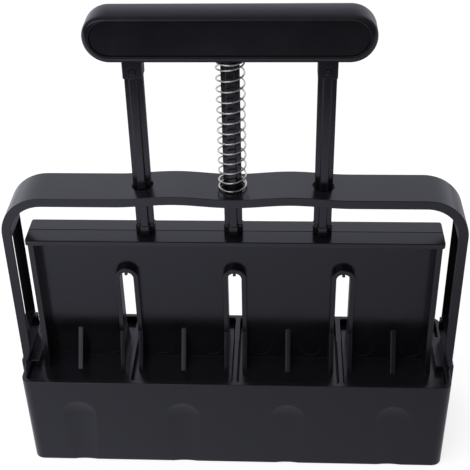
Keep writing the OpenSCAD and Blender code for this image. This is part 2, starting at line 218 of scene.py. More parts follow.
def fuse(parts, cutters=()):
    base = parts[0]
    for kind, others in (("UNION", parts[1:]), ("DIFFERENCE", cutters)):
        if others:
            group = bpy.data.collections.new(kind)
            for other in others:
                group.objects.link(other)
            step = base.modifiers.new(kind, "BOOLEAN")
            step.operation = kind
            step.operand_type = "COLLECTION"
            step.collection = group
            step.solver = "EXACT"
    shown = base.evaluated_get(bpy.context.evaluated_depsgraph_get())
    mesh = bpy.data.meshes.new_from_object(shown)
    for used in [*parts, *cutters]:
        bpy.data.objects.remove(used)
    bm = bmesh.new()
    bm.from_mesh(mesh)
    bmesh.ops.remove_doubles(bm, verts=bm.verts, dist=MERGE)
    bmesh.ops.dissolve_degenerate(bm, edges=bm.edges, dist=MERGE)
    bm.to_mesh(mesh)
    bm.free()
    obj = bpy.data.objects.new("fused", mesh)
    bpy.context.scene.collection.objects.link(obj)
    return obj


def dress(obj, node, body, material, sharp=35):
    """Names the piece, gives it its finish and smooth shading, and lets it stand for its CAD node."""
    obj.name = node + "_skin"
    obj.data.name = obj.name
    obj.data.materials.clear()
    obj.data.materials.append(material)
    obj.data.shade_smooth()
    obj.data.set_sharp_from_angle(angle=math.radians(sharp))
    even = obj.modifiers.new("even_normals", "WEIGHTED_NORMAL")
    even.keep_sharp = True
    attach(obj, body)
    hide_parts(node)
    print(obj.name, len(obj.data.vertices), "points", len(obj.data.polygons), "faces")
    return obj


# %% [markdown]
# All the black pieces are one glossy plastic from a polished mould. Up close such plastic is never one
# flat value: it has slow clouds from the melt, a very fine grain, and lighter edges, which are partly
# scuffs and partly a painted highlight. Each effect is a small node group, so that every plastic can use
# it with its own values.

# %% Node groups: clouds, grain, edge wear and painted edge highlight
def new_group(name, inputs, outputs):
    tree = bpy.data.node_groups.new(name, "ShaderNodeTree")
    for kind, direction in ((inputs, "INPUT"), (outputs, "OUTPUT")):
        for label, socket, *value in kind:
            item = tree.interface.new_socket(label, in_out=direction, socket_type=socket)
            if value:
                item.default_value = value[0]
    return tree, tree.nodes.new("NodeGroupInput"), tree.nodes.new("NodeGroupOutput")


def add(tree, kind, inputs=(), **settings):
    node = tree.nodes.new(kind)
    for key, value in settings.items():
        setattr(node, key, value)
    for key, value in dict(inputs).items():
        if isinstance(value, bpy.types.NodeSocket):
            tree.links.new(value, node.inputs[key])
        else:
            node.inputs[key].default_value = value
    return node


def maths(tree, operation, *values):
    return add(tree, "ShaderNodeMath", enumerate(values), operation=operation).outputs[0]


def ramp(tree, value, start, end, low, high, kind="SMOOTHSTEP"):
    """Gives low where the value is at start, and high where it is at end."""
    inputs = {"Value": value, "From Min": start, "From Max": end, "To Min": low, "To Max": high}
    return add(tree, "ShaderNodeMapRange", inputs, interpolation_type=kind).outputs["Result"]


def noise(tree, scale, **values):
    place = add(tree, "ShaderNodeTexCoord").outputs["Object"]
    return add(tree, "ShaderNodeTexNoise", {"Vector": place, "Scale": scale, **values}).outputs["Fac"]


def melt_clouds_group():
    tree, given, made = new_group(
        "melt_clouds",
        [("Size mm", "NodeSocketFloat", 18.0), ("Low", "NodeSocketFloat", 0.2),
         ("High", "NodeSocketFloat", 0.3)],
        [("Value", "NodeSocketFloat"), ("Cloud", "NodeSocketFloat")])
    scale = maths(tree, "DIVIDE", 1 / MM, given.outputs["Size mm"])
    cloud = noise(tree, scale, Detail=3.0, Roughness=0.55)
    value = ramp(tree, cloud, 0.3, 0.7, given.outputs["Low"], given.outputs["High"], "LINEAR")
    tree.links.new(value, made.inputs["Value"])
    tree.links.new(cloud, made.inputs["Cloud"])
    return tree


def mould_grain_group():
    tree, given, made = new_group(
        "mould_grain",
        [("Grain mm", "NodeSocketFloat", 0.6), ("Depth mm", "NodeSocketFloat", 0.002)],
        [("Normal", "NodeSocketVector")])
    scale = maths(tree, "DIVIDE", 1 / MM, given.outputs["Grain mm"])
    fine = noise(tree, scale, Detail=2.0)
    slow = noise(tree, 90.0, Detail=1.0)
    both = maths(tree, "MULTIPLY_ADD", slow, 4.0, fine)
    depth = maths(tree, "MULTIPLY", given.outputs["Depth mm"], MM)
    bump = add(tree, "ShaderNodeBump", {"Height": both, "Distance": depth, "Strength": 1.0})
    tree.links.new(bump.outputs["Normal"], made.inputs["Normal"])
    return tree


def edge_wear_and_highlight_group():
    """Where the normal of the rounded form differs from the face's own, there is an edge. The mask gives
    it a lighter colour: partly wear, partly a painted highlight.
    """
    tree, given, made = new_group(
        "edge_wear_and_highlight",
        [("Reach mm", "NodeSocketFloat", 0.5), ("Gain", "NodeSocketFloat", 3.0)],
        [("Mask", "NodeSocketFloat")])
    reach = maths(tree, "MULTIPLY", given.outputs["Reach mm"], MM)
    soft = add(tree, "ShaderNodeBevel", {"Radius": reach}, samples=4)
    face = add(tree, "ShaderNodeNewGeometry")
    same = add(tree, "ShaderNodeVectorMath", {0: soft.outputs["Normal"], 1: face.outputs["Normal"]},
               operation="DOT_PRODUCT")
    differ = maths(tree, "MAXIMUM", maths(tree, "SUBTRACT", 1.0, same.outputs["Value"]), 0.0)
    spread = maths(tree, "POWER", differ, 0.25)
    broken = maths(tree, "MULTIPLY", spread, noise(tree, 220.0, Detail=3.0))
    mask = add(tree, "ShaderNodeMath", {0: broken, 1: given.outputs["Gain"]}, operation="MULTIPLY",
               use_clamp=True)
    tree.links.new(mask.outputs[0], made.inputs["Mask"])
    return tree


melt_clouds = melt_clouds_group()
mould_grain = mould_grain_group()
edge_wear_and_highlight = edge_wear_and_highlight_group()
print("node groups", [g.name for g in bpy.data.node_groups])

# %% [markdown]
# The plastic itself is a Principled shader. Its colour is a very dark, slightly cold grey, and almost
# all of what the eye sees on it is reflection, so the refractive index and the roughness matter most.
# The grip is handled, so it is a little duller. The case gets more of the lighter edge colour: partly wear
# from soil, partly painted highlight.

# %% Finish: black plastic
BLACK = (0.0058, 0.0059, 0.0074, 1)
# Lighter grey for the edges: partly scuffs, partly a painted highlight.
SCUFF_AND_HIGHLIGHT = (0.045, 0.045, 0.049, 1)
COOL_SHEEN = (0.90, 0.905, 1.0, 1)


def group_node(tree, group, values):
    node = tree.nodes.new("ShaderNodeGroup")
    node.node_tree = group
    for key, value in values.items():
        node.inputs[key].default_value = value
    return node


def plastic(name, low=0.16, high=0.24, wear_and_highlight=0.8, cloud_mm=18.0, depth_mm=0.0008, ior=1.46):
    material = bpy.data.materials.new(name)
    material.use_nodes = True
    tree = material.node_tree
    shader = tree.nodes["Principled BSDF"]
    clouds = group_node(tree, melt_clouds, {"Size mm": cloud_mm, "Low": low, "High": high})
    grain = group_node(tree, mould_grain, {"Grain mm": 0.5, "Depth mm": depth_mm})
    # The edge mask mixes a lighter grey into every rounded edge: partly scuffs, partly a painted
    # highlight.
    edges = group_node(tree, edge_wear_and_highlight, {"Reach mm": 0.45, "Gain": wear_and_highlight})
    colour = add(tree, "ShaderNodeMix", data_type="RGBA")
    tree.links.new(edges.outputs["Mask"], colour.inputs["Factor"])
    colour.inputs[6].default_value = BLACK
    colour.inputs[7].default_value = SCUFF_AND_HIGHLIGHT
    tree.links.new(colour.outputs[2], shader.inputs["Base Color"])
    tree.links.new(clouds.outputs["Value"], shader.inputs["Roughness"])
    tree.links.new(grain.outputs["Normal"], shader.inputs["Normal"])
    shader.inputs["IOR"].default_value = ior
    shader.inputs["Specular Tint"].default_value = COOL_SHEEN
    return material


case_plastic = plastic("case_plastic", wear_and_highlight=1.0)
hoop_plastic = plastic("hoop_plastic", cloud_mm=25.0)
press_plastic = plastic("press_plastic", cloud_mm=12.0)
rod_plastic = plastic("rod_plastic", cloud_mm=9.0)
grip_plastic = plastic("grip_plastic", low=0.2, high=0.28, cloud_mm=14.0)
print("plastics", [m.name for m in bpy.data.materials if m.name.endswith("plastic")])

# %% [markdown]
# The spring is bright drawn wire, and the two screws are plated. Drawn wire has fine lines along its
# length, but at this size they read as a slight change of roughness, so noise drives that.

# %% Finish: steel
def steel(name, colour, low, high):
    material = bpy.data.materials.new(name)
    material.use_nodes = True
    tree = material.node_tree
    shader = tree.nodes["Principled BSDF"]
    clouds = group_node(tree, melt_clouds, {"Size mm": 1.5, "Low": low, "High": high})
    dull = tuple(0.6 * c for c in colour[:3]) + (1,)
    tone = add(tree, "ShaderNodeMix", data_type="RGBA")
    tree.links.new(clouds.outputs["Cloud"], tone.inputs["Factor"])
    tone.inputs[6].default_value = colour
    tone.inputs[7].default_value = dull
    tree.links.new(tone.outputs[2], shader.inputs["Base Color"])
    tree.links.new(clouds.outputs["Value"], shader.inputs["Roughness"])
    shader.inputs["Metallic"].default_value = 1
    return material


spring_steel = steel("spring_steel", (0.92, 0.90, 0.84, 1), 0.22, 0.36)
screw_steel = steel("screw_steel", (0.07, 0.07, 0.07, 1), 0.38, 0.52)
print("steels", spring_steel.name, screw_steel.name)

# %% [markdown]
# The case is a box without top or bottom, split into four cells. Its skin tapers a little to the foot,
# as a moulding must to leave its mould. Rounded rings give the outer skin, and the cell cutters flare
# at their ends, which leaves round rims on the walls and dividers.

# %% Case: box and cells
corner_r = 5.0
draft = 0.5
rim_r = 0.45


def case_box():
    rings = [rounded_ring(end_x - draft - 0.2, side_y - draft - 0.2, corner_r, 0.0),
             rounded_ring(end_x - draft, side_y - draft, corner_r, 0.3)]
    for i in range(5):
        a = math.radians(90 * i / 4)
        inset = rim_r * (1 - math.cos(a))
        z = case_h - rim_r + rim_r * math.sin(a)
        rings.append(rounded_ring(end_x - inset, side_y - inset, corner_r, z))
    return loft(rings)


def cell_cutter(x):
    half, r = cell / 2, 1.5
    rings = [rounded_ring(half + 0.3, half + 0.3, r, -1.0, x),
             rounded_ring(half + 0.3, half + 0.3, r, 0.0, x),
             rounded_ring(half, half, r, 0.4, x)]
    for i in range(5):
        a = math.radians(90 * i / 4)
        out = rim_r * (1 - math.cos(a))
        z = case_h - rim_r + rim_r * math.sin(a)
        rings.append(rounded_ring(half + out, half + out, r, z, x))
    rings.append(rounded_ring(half + rim_r, half + rim_r, r, case_h + 1, x))
    return loft(rings)


# %% [markdown]
# Each cell has a shallow flute in its front and back wall. A flute is part of a large cylinder that
# ends in part of a ball, so one formula gives its whole surface. The cutter is that surface as a grid,
# closed by a flat back outside the wall.

# %% Case: flutes
flute_w, flute_d, flute_h = 18.4, 1.2, 41.5
ball_r = (flute_w ** 2 / 4 + flute_d ** 2) / (2 * flute_d)


def flute_cutter(x0, side, columns=20, rows=30):
    xs = [(-flute_w / 2 - 1) + (flute_w + 2) * i / columns for i in range(columns + 1)]
    knee = flute_h - flute_w / 2
    zs = [-1.0, knee / 2] + [knee + (flute_w / 2 + 1) * j / rows for j in range(rows + 1)]
    middle = side_y - flute_d + ball_r
    points = []
    for z in zs:
        flat = ball_r ** 2 - max(0.0, z - knee) ** 2
        points += [(x0 + x, side * (middle - math.sqrt(flat - x * x)), z) for x in xs]
    wide, count = len(xs), len(zs) * len(xs)
    points += [(x, side * (side_y + 3), z) for x, y, z in points]
    quads = [(j * wide + i, j * wide + i + 1, (j + 1) * wide + i + 1, (j + 1) * wide + i)
             for j in range(len(zs) - 1) for i in range(wide - 1)]
    faces = quads + [tuple(count + k for k in reversed(q)) for q in quads]
    border = list(range(wide)) + [j * wide + wide - 1 for j in range(1, len(zs))]
    border += [(len(zs) - 1) * wide + i for i in range(wide - 2, -1, -1)]
    border += [j * wide for j in range(len(zs) - 2, 0, -1)]
    faces += [(b, a, a + count, b + count) for a, b in zip(border, border[1:] + border[:1])]
    return soften(mesh_object("flute", points, faces), 0)


# %% [markdown]
# On each end wall a wedge holds the hoop's tab, and a ledge inside stops the plate at the top.

# %% Case: lugs, and the finished case
tab_l = 24.0
snap_w, snap_h = 11.8, 9.0
snap_z = case_h - tab_l + 5
stop_w, stop_reach, stop_h = 22.4, 3.9, 3.7


def mirrored(outline):
    return [(-a, b) for a, b in outline]


def case_lugs():
    wedge = [(end_x - wall / 2, snap_z), (end_x + snap_reach, snap_z),
             (end_x + snap_reach, snap_z + 0.35 * snap_h), (end_x, snap_z + snap_h),
             (end_x - wall / 2, snap_z + snap_h)]
    ledge = [(end_x - wall - stop_reach, case_h - stop_h), (end_x - wall / 2, case_h - stop_h),
             (end_x - wall / 2, case_h - 0.05), (end_x - wall - stop_reach, case_h - 0.05)]
    lugs = []
    for outline, width in ((wedge, snap_w), (ledge, stop_w)):
        lugs.append(prism(outline, width, "XZ", radius=0.3))
        lugs.append(prism(mirrored(outline), width, "XZ", radius=0.3))
    return lugs


cutters = [cell_cutter(x) for x in cell_xs]
cutters += [flute_cutter(x, side) for x in cell_xs for side in (-1, 1)]
case = fuse([case_box()], cutters)
case = fuse([case, *case_lugs()])
dress(case, "cell_case", "case", case_plastic, sharp=12)

# %% [markdown]
# The hoop is one flat band bent over the case. Seen from the front it is a single outline: tabs outside
# the end walls, straight legs, round shoulders, and a top bar with two low humps. The outline is drawn
# once for the right half and mirrored, so both sides stay equal.

# %% Hoop: outline
bar_t, leg_t = 4.4, 4.4
leg_x = end_x + 1.5
shoulder_r = 20.0
hump_l = 54.0
tab_x = hoop_high.x
tab_t = 2.3
leg_step = 6.3
seat_w = 1.2


def hump(x):
    return hump_h * (1 - math.cos(2 * math.pi * x / hump_l)) / 2 if abs(x) < hump_l else 0.0


def half_band():
    """Right half, from the middle of the bar's underside round the leg's foot to the bar's top."""
    inner_r = shoulder_r - bar_t
    turn_x, turn_z = leg_x - shoulder_r, bar_top - shoulder_r
    xs = [hump_l * i / 40 for i in range(41)]
    under = [(x, bar_top - bar_t + hump(x)) for x in xs]
    inner = arc(turn_x, turn_z, inner_r, 90, 0, 20)
    out = tab_x - tab_t
    foot = [(leg_x - leg_t, case_h + leg_step), (end_x - seat_w, case_h), (out, case_h),
            (out, case_h - tab_l), (tab_x, case_h - tab_l), (tab_x, case_h + 0.4), (leg_x, case_h + 1.2)]
    outer = arc(turn_x, turn_z, shoulder_r, 0, 90, 24)
    top = [(x, bar_top + hump(x)) for x in reversed(xs)]
    return under + inner + foot + outer + top


def whole_band():
    half = half_band()
    return half + [(-x, z) for x, z in reversed(half) if x > 0]


# %% [markdown]
# Windows lighten the legs, small windows in the tabs take the wedges of the case, and the rods run in
# three round holes of the bar. Under the bar are shallow pockets, so that its walls stay even.

# %% Hoop: windows, holes and pockets
front_rail, rear_rail, window_slant = 1.2, 7.4, 2.6
bevel_w, bevel_t, bevel_drop = 4.4, 1.8, 5.0
window_low, window_high = case_h + 18, bar_top - shoulder_r - 1.4
rod_w, rod_arm = 8.2, 3.6
hole_r = math.hypot(rod_w, rod_arm) / 2 + rod_gap
pocket_w, pocket_d = band_w - 5.2, 2.2
beyond = 1.0


def leg_window(side):
    """A round-cornered opening through the leg. Its rear side slants back on the way in."""
    front, r = front_rail - band_w / 2, 1.2
    rings = []
    for x in (leg_x - leg_t - beyond, leg_x + beyond):
        back = band_w / 2 - rear_rail + window_slant * (leg_x - x) / leg_t
        corners = ((back, window_low, 1, -1, 270), (back, window_high, 1, 1, 0),
                   (front, window_high, -1, 1, 90), (front, window_low, -1, -1, 180))
        rings.append([(side * x, py, pz) for y, z, sy, sz, a in corners
                      for py, pz in arc(y - sy * r, z - sz * r, r, a, a + 90, 5)])
    return loft(rings)


def leg_bevel(side):
    inner, edge = leg_x - leg_t, band_w / 2 - bevel_w
    low, high = window_low - bevel_drop, bar_top - shoulder_r
    outline = [(inner - beyond, edge), (inner, edge),
               (inner + bevel_t * (bevel_w + beyond) / bevel_w, band_w / 2 + beyond),
               (inner - beyond, band_w / 2 + beyond)]
    return prism([(side * x, y) for x, y in outline], high - low, "XY", (low + high) / 2, 0)


def bar_pockets():
    xs = [-hump_l + hump_l * i / 24 for i in range(49)]
    roof = [(x, bar_top - bar_t + pocket_d + hump(x)) for x in xs]
    floor = [(hump_l, bar_top - bar_t - 1), (-hump_l, bar_top - bar_t - 1)]
    solid = prism(roof + floor, pocket_w, "XZ", radius=0)
    bosses = [lathe([(7.6, bar_top - 12), (7.6, bar_top + 5)], (x, 0)) for x in rod_xs]
    return fuse([solid], bosses)


def band_cutters():
    made = [bar_pockets()]
    for side in (-1, 1):
        made.append(leg_window(side))
        made.append(leg_bevel(side))
        y = snap_w / 2 + snap_gap
        made.append(block((side * tab_x - 3, -y, snap_z - snap_gap),
                          (side * tab_x + 3, y, snap_z + snap_h + snap_gap), 0))
    hole = [(hole_r, bar_top - 12), (hole_r, bar_top - bar_t + 1.2), (hole_r, bar_top - 0.3),
            (hole_r + 0.3, bar_top), (hole_r + 0.3, bar_top + 5)]
    return made + [lathe(hole, (x, 0), 64) for x in rod_xs]


hoop = fuse([prism(whole_band(), band_w, "XZ", radius=0.3)], band_cutters())
dress(hoop, "hoop_frame", "case", hoop_plastic)

# %% [markdown]
# The press is the piece that takes the most skill. A thin web carries everything: three slots with
# round tops let it pass over the dividers, a raised rim runs round each slot and flares at its foot,
# a triangular gusset stands in the middle of each plate, and a shallow roof closes the top.

# %% Press: sizes and the web
plate_t, web_t = 2.5, 2.5
plate_low = press_low.z
plate_top = plate_low + plate_t
slot_w, rim_t, rim_out = 6.8, 2.4, 3.4
head_h = 21.9
slot_top = flange_top - head_h
flange_w, flange_t, flange_fall = 18.8, 3.2, 0.3
flange_half = end_x - wall - stop_reach - 1.5
side_x = flange_half - 1.2
gusset_reach, gusset_h, gusset_t = 13.0, 18.0, 2.6
side_t = 2.8


def slot_line(x0, half, low, steps=16):
    """Up the right side of a slot, over its round top, and down its left side."""
    top = slot_top - slot_w / 2
    return [(x0 + half, low), *arc(x0, top, half, 0, 180, steps), (x0 - half, low)]


def press_web():
    low = plate_top - plate_t / 2
    high = flange_top - flange_t / 2
    outline = [(-side_x, low), (-side_x, high), (side_x, high), (side_x, low)]
    for x in reversed(divider_xs):
        outline += slot_line(x, slot_w / 2, low)
    return prism(outline, web_t, "XZ", radius=0.2, segments=2)


# %% [markdown]
# A rim is the slot's outline drawn at two widths. Gussets, slot fins and side fins are one side view
# with three widths: it narrows from the plate's edge up to a knee, and goes straight up from there.

# %% Press: rims, fins and plates
def slot_rim(x0):
    low = plate_top - 0.5
    outer, inner = (slot_line(x0, half, low) for half in (slot_w / 2 + rim_t, slot_w / 2))
    return prism(outer + inner[::-1], web_t + 2 * rim_out, "XZ", radius=0.35)


def fin(x, thickness, half, top):
    low, knee = plate_top - plate_t / 2, plate_top + gusset_h
    right = [(gusset_reach, low), (gusset_reach, plate_top), (half, knee), (half, top)]
    outline = right + [(-y, z) for y, z in reversed(right)]
    return prism(outline, thickness, "YZ", x, radius=0.35)


def press_plate(x):
    half = cell / 2 - plate_gap
    steps = ((0.25, plate_low), (0.0, plate_low + 0.25), (0.0, plate_top - 0.3), (0.3, plate_top))
    return loft([rounded_ring(half - inset, half - inset, 1.2, z, x) for inset, z in steps])


def press_fins():
    half = web_t / 2 + rim_out
    fins = [fin(x, gusset_t, web_t / 2, plate_top + gusset_h + 1) for x in cell_xs]
    fins += [fin(x + side * (slot_w + rim_t) / 2, rim_t, half, plate_top + gusset_h + 1)
             for x in divider_xs for side in (-1, 1)]
    fins += [fin(side * (side_x - side_t / 2), side_t, flange_w / 2 - 0.1, flange_top - flange_t / 2)
             for side in (-1, 1)]
    return fins


# %% [markdown]
# The flange is a shallow roof with a fine line along its ridge, where the halves of the mould met. Its
# corners are round seen from above. Round marks on the web are where pins pushed the panel out of the
# mould: they are a quarter of a millimetre deep and show as faint rings.

# %% Press: flange, marks and the finished panel
def flange():
    corner, edge = 1.5, 0.45
    eaves = flange_top - flange_fall
    steps = ((0.3, flange_top - flange_t), (0.0, flange_top - flange_t + 0.3), (0.0, eaves - edge),
             (0.12, eaves - 0.15), (edge, eaves))
    body = loft([rounded_ring(flange_half - inset, flange_w / 2 - inset, corner, z) for inset, z in steps])
    y = flange_w / 2 - edge
    ridge = [(-y, eaves - 0.1), (-y, eaves), (0, flange_top), (y, eaves), (y, eaves - 0.1)]
    return [body, prism(ridge, 2 * (flange_half - edge), "YZ", radius=0)]


def mould_marks():
    mark_r, deep = 5.2, 0.25
    z = plate_top + mark_r + 1.4
    xs = [side * share * pitch_x for share in (0.234, 0.716, 1.219, 1.68) for side in (-1, 1)]
    return [prism(circle(x, z, mark_r, 40), 2 * deep, "XZ", face * web_t / 2, 0)
            for x in xs for face in (-1, 1)]


line_w, line_d = 0.5, 0.35
ridge_line = block((-flange_half - 1, -line_w / 2, flange_top - line_d),
                   (flange_half + 1, line_w / 2, flange_top + 1), 0)
web = fuse([press_web()], mould_marks())
nub_half, nub_y = 0.7, web_t / 2 + rim_out - 0.05
nubs = [block((x - nub_half, -nub_y, slot_top - 1.6), (x + nub_half, nub_y, slot_top + 1), 0.15)
        for x in divider_xs]
solids = [web, *[slot_rim(x) for x in divider_xs], *press_fins(), *[press_plate(x) for x in cell_xs]]
panel = fuse([*solids, *nubs, *flange()], [ridge_line])
dress(panel, "press_panel", "press", press_plastic)

# %% [markdown]
# The rods are crosses in section: two thin arms are lighter and straighter than a thick round rod. Each
# has a wider foot that is bonded into the flange, and a round peg that goes up into the grip.

# %% Rods
foot_w, foot_h = 8.9, 5.0
peg_r, peg_l = 2.5, 12.0
socket_d = 2.4
boss_h, spot_h = 7.9, 1.2
grip_z0 = grip_low.z + boss_h
screw_z = grip_z0 - 5
head_r, head_t, shank_r = 1.7, 1.2, 1.1


def cross_bar(x, width, arm, low, high, radius=0.3):
    w, a = width / 2, arm / 2
    outline = [(w, a), (a, a), (a, w), (-a, w), (-a, a), (-w, a), (-w, -a), (-a, -a), (-a, -w), (a, -w),
               (a, -a), (w, -a)]
    return prism([(x + px, py) for px, py in outline], high - low, "XY", (low + high) / 2, radius)


def guide_rod(x, top, pinned):
    peg = [(peg_r, top - 1), (peg_r, grip_z0 + peg_l - 0.5), (peg_r - 0.5, grip_z0 + peg_l)]
    parts = [cross_bar(x, rod_w, rod_arm, flange_top + 0.5, top),
             cross_bar(x, foot_w, rod_arm + foot_w - rod_w, flange_top, flange_top + foot_h, 0.4),
             cross_bar(x, foot_w - 1.6, rod_arm - 1, flange_top - socket_d + seat, flange_top + 1, 0.1),
             lathe(peg, (x, 0), 32)]
    holes = [prism(circle(x, screw_z, shank_r + peg_gap, 24), 20, "XZ", 0, 0)] if pinned else []
    return fuse(parts, holes)


boss_top, spot_top = grip_z0 - boss_h, grip_z0 - spot_h
for node, x, top, pinned in (("left_rod", -rod_pitch, boss_top, True), ("centre_rod", 0, spot_top, False),
                             ("right_rod", rod_pitch, boss_top, True)):
    dress(guide_rod(x, top, pinned), node, "press", rod_plastic)

# %% [markdown]
# The grip is a bar with round ends and round long edges. Rings of the same stadium outline, each with
# its own inset and depth, run from its flat back over the round edges to the rim, and down into the
# shallow recess that holds the cover. Its face is bare.

# %% Grip: body
grip_r, grip_rim = 2.6, 3.3
fall_reach, fall_drop = 10.2, 2.7
edge_y, edge_in = 0.5, 0.3
cover_sunk, cover_t = 0.8, 1.6
grip_half, grip_deep = (grip_high.z - grip_z0) / 2, grip_high.y
grip_mid = grip_z0 + grip_half
straight = grip_high.x - grip_half


def stadium(inset, y, steps=28):
    """Outline of the grip at one depth. The inset is a number, or a function of the angle."""
    draw = inset if callable(inset) else lambda angle: inset
    ring = []
    for centre, start in ((straight, -90), (-straight, 90)):
        for i in range(steps + 1):
            a = math.radians(start + 180 * i / steps)
            r = grip_half - draw(a)
            ring.append((centre + r * math.cos(a), y, grip_mid + r * math.sin(a)))
    return ring


def rounding(depth, reach_y, reach_in):
    """How far a quarter ellipse draws the outline in, at a depth below the face it ends at."""
    t = max(0.0, 1 - depth / reach_y)
    return reach_in * (1 - math.sqrt(1 - t * t))


def long_fall(depth):
    """How far an even arc has fallen, at a depth below the face it ends at."""
    radius = (fall_reach ** 2 + fall_drop ** 2) / (2 * fall_drop)
    run = max(0.0, fall_reach - depth)
    return radius - math.sqrt(radius ** 2 - run ** 2)


def edge_ring(y):
    """The top falls in one long arc to a small front edge. Every other edge has a tight rounding."""
    tight = long = rounding(grip_deep - abs(y), grip_r, grip_r)
    if y < grip_deep - grip_r:
        long = long_fall(grip_deep + y) + rounding(grip_deep + y, edge_y, edge_in)

    def inset(angle):
        top = max(0.0, math.sin(angle)) ** 4
        return top * long + (1 - top) * tight
    return stadium(inset, y)


def grip_shell():
    curve = [grip_deep - grip_r * (1 - math.sin(math.radians(90 * i / 9))) for i in range(10)]
    depths = curve[::-1] + [2.6, 1.3, 0.0, -1.3, -2.6] + [-y for y in curve]
    rings = [edge_ring(y) for y in depths]
    lip = 0.25
    for i in range(1, 5):
        a = math.radians(90 * i / 4)
        inset = grip_rim - lip * (1 - math.sin(a))
        rings.append(stadium(inset, -grip_deep + lip * (1 - math.cos(a))))
    rings.append(stadium(grip_rim, -grip_deep + cover_sunk + cover_t))
    return loft(rings)


boss_half = rod_w / 2 + 0.2
head_y = 0.7 * head_t - boss_half


def grip_bosses():
    low, high = grip_z0 - boss_h, grip_z0 + 1.5
    made = [block((x - boss_half, -boss_half, low), (x + boss_half, boss_half, high), 0.4)
            for x in (-rod_pitch, rod_pitch)]
    spot = [(5.3, grip_z0 - spot_h), (5.5, grip_z0 - spot_h + 0.2), (5.5, high)]
    return made + [lathe(spot)]


def grip_holes():
    r = peg_r + peg_gap
    made = [lathe([(r, grip_z0 - boss_h - 1), (r, grip_z0 + peg_l + 0.5)], (x, 0), 32) for x in rod_xs]
    for x in (-rod_pitch, rod_pitch):
        made.append(prism(circle(x, screw_z, head_r + 0.1, 32), 4, "XZ", head_y - 2, 0))
        made.append(prism(circle(x, screw_z, shank_r + peg_gap, 24), 6.6, "XZ", head_y + 3, 0))
    return made


body = fuse([grip_shell(), *grip_bosses()], grip_holes())
dress(body, "grip_body", "press", grip_plastic)

# %% [markdown]
# The cover is a plate with round ends that closes the recess, a little below the rim. A fine gap is left
# all round it.

# %% Grip: cover
def cover_plate():
    inset = grip_rim + seat
    front = -grip_deep + cover_sunk
    return loft([stadium(inset, front + cover_t), stadium(inset, front + 0.3),
                 stadium(inset + 0.09, front + 0.09), stadium(inset + 0.3, front)])


dress(cover_plate(), "grip_cover", "press", grip_plastic)

# %% [markdown]
# Small screws pin the outer rods in their bosses. A head is a low lathe form with a cross cut in it.

# %% Screws
def screw(x):
    turned = [(0.05, -6.8), (shank_r - 0.3, -6.8), (shank_r, -6.4), (shank_r, 0.0), (head_r, 0.0),
              (head_r, head_t * 0.55), (head_r - 0.25, head_t * 0.85), (0.05, head_t)]
    made = lathe(turned, steps=32)
    cuts = [block((-w, -d, head_t * 0.45), (w, d, head_t + 1), 0) for w, d in ((1.2, 0.28), (0.28, 1.2))]
    made = fuse([fuse([made], cuts[:1])], cuts[1:])
    place = Matrix.Translation(Vector((x, head_y, screw_z)) * MM)
    made.data.transform(place @ Matrix.Rotation(math.radians(90), 4, "X"))
    return made


screws = fuse([screw(-rod_pitch), screw(rod_pitch)])
dress(screws, "grip_screws", "press", screw_steel)

# %% [markdown]
# The spring is a tube swept along a helix, with flat end turns that lie on the bar and under the grip.
# It must shorten as the grip goes down.

# %% Spring
wire_r, turns, end_turns = 0.4, 14, 0.9
coil_r = spring_high.x - wire_r


def coil_z(t, low, rise):
    close = 2 * wire_r * 1.05
    gap = (rise - 2 * end_turns * close) / (turns - 2 * end_turns)
    if t < end_turns:
        return low + t * close
    if t > turns - end_turns:
        return low + rise - (turns - t) * close
    return low + end_turns * close + (t - end_turns) * gap


def spring_mesh(per_turn=40, sides=10):
    low = spring_low.z + wire_r
    rise = spring_high.z - spring_low.z - 2 * wire_r
    rings = []
    for i in range(turns * per_turn + 1):
        t = i / per_turn
        a = 2 * math.pi * t
        z = coil_z(t, low, rise)
        ring = []
        for k in range(sides):
            b = 2 * math.pi * k / sides
            r = coil_r + wire_r * math.cos(b)
            ring.append((r * math.cos(a), r * math.sin(a), z + wire_r * math.sin(b)))
        rings.append(ring)
    return loft(rings)


spring = dress(spring_mesh(), "return_spring", "case", spring_steel, sharp=60)
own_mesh(spring)

# %% [markdown]
# Under each plate a round pin presses the seed hole. It tapers to a round tip, so it leaves the soil.

# %% Seed pins
pin_r, pin_l, tip_r = 4.0, 10.0, 2.6
stub_r, stub_l = 2.0, 1.35


def seed_pin(x):
    profile = [(stub_r, plate_low + stub_l), (stub_r, plate_low), (pin_r - 0.2, plate_low),
               (pin_r, plate_low - 0.2)]
    tip_z = plate_low - pin_l + tip_r
    profile += [(max(0.05, tip_r * math.cos(a)), tip_z - tip_r * math.sin(a))
                for a in (math.radians(90 * i / 10) for i in range(11))]
    return lathe(profile, (x, 0), 40)


for i, x in enumerate(cell_xs):
    dress(seed_pin(x), f"seed_pin_{i + 1}", "press", press_plastic)

# %% [markdown]
# The studio is plain: a white floor, a white surround, and one large soft lamp above. Black gloss shows
# Black gloss shows what is around it more than its own colour, so the floor as the plastic mirrors it has
# a gradient:
# it is brightest a little in front of the tool and falls off towards the dark room further in front. Close
# to the tool it carries painted shade, behind the tool's middle a painted shadow, and from left to right a
# painted falloff.

# %% Studio: floor
COOL_LIGHT = (1.0, 1.01, 1.12, 1)
FLOOR_SEEN = 0.72


def tint_mirror(tree, glossy):
    """White to the eye, and a little cool in the plastic's mirror."""
    tint = add(tree, "ShaderNodeMix", {"Factor": glossy}, data_type="RGBA")
    tint.inputs[6].default_value = (1, 1, 1, 1)
    tint.inputs[7].default_value = COOL_LIGHT
    return tint.outputs[2]


